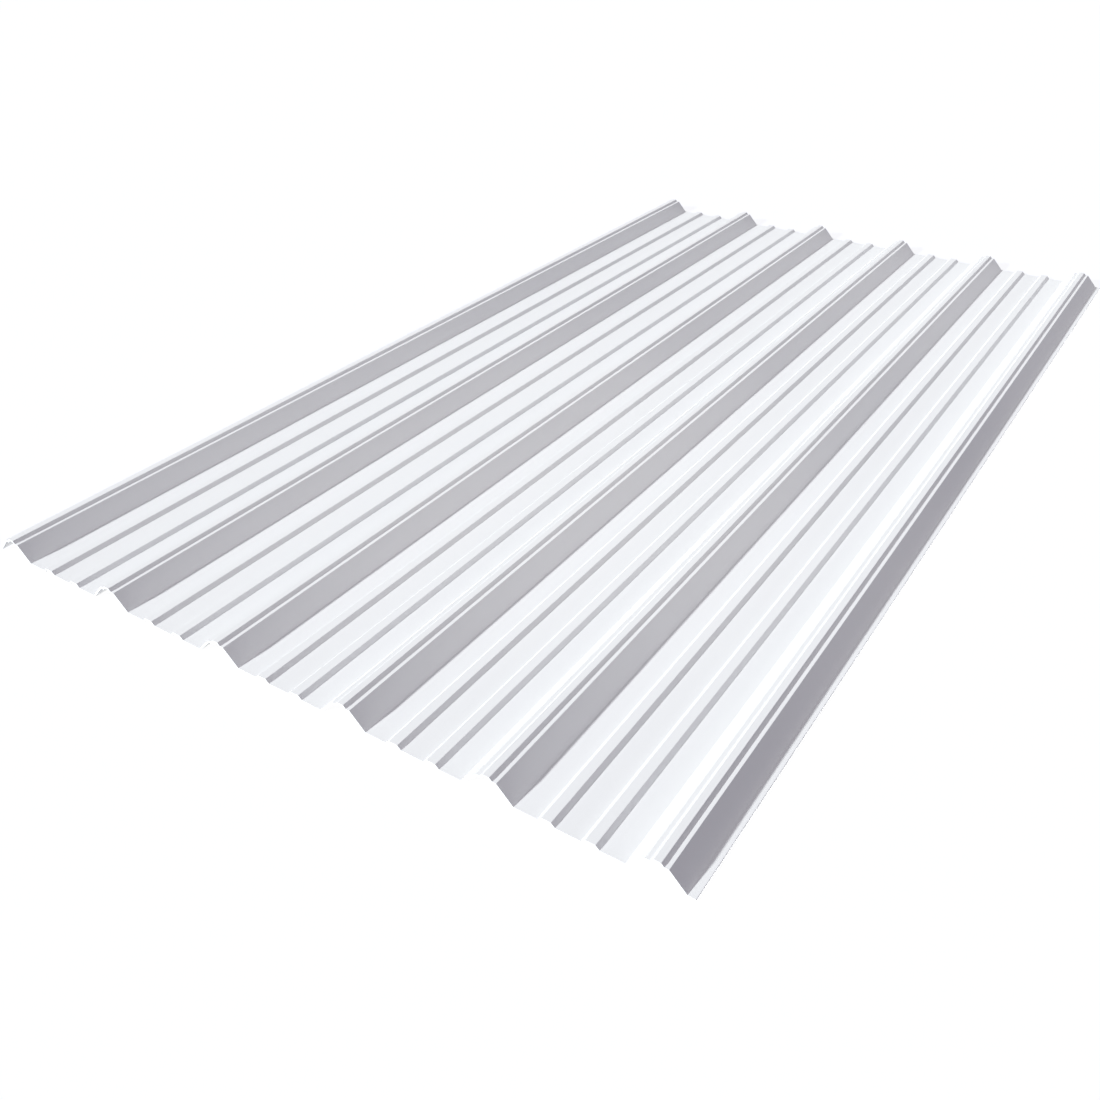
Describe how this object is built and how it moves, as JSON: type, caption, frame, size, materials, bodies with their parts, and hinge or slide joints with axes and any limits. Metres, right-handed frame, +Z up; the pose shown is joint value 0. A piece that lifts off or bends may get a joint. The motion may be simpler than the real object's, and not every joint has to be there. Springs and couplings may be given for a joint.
{
  "type": "upvc roof sheet",
  "caption": "White trapezoidal plastic roof sheet with beaded main ribs, low stiffening ribs in its pans, a plain overlap edge and a flat underlap lip, for roofing and cladding.",
  "frame": {"origin": "middle of the sheet's outline, on the floor plane that its pans lie on", "axes": "+Z up, out of the weather face; +Y along the ribs; +X across the sheet, towards its flat lip"},
  "size_m": [1.1297, 2, 0.0296],
  "materials": {
    "white_upvc": "smooth satin white, as extruded"
  },
  "bodies": {
    "root": {"roof_sheet": "white_upvc"}
  },
  "joints": []
}
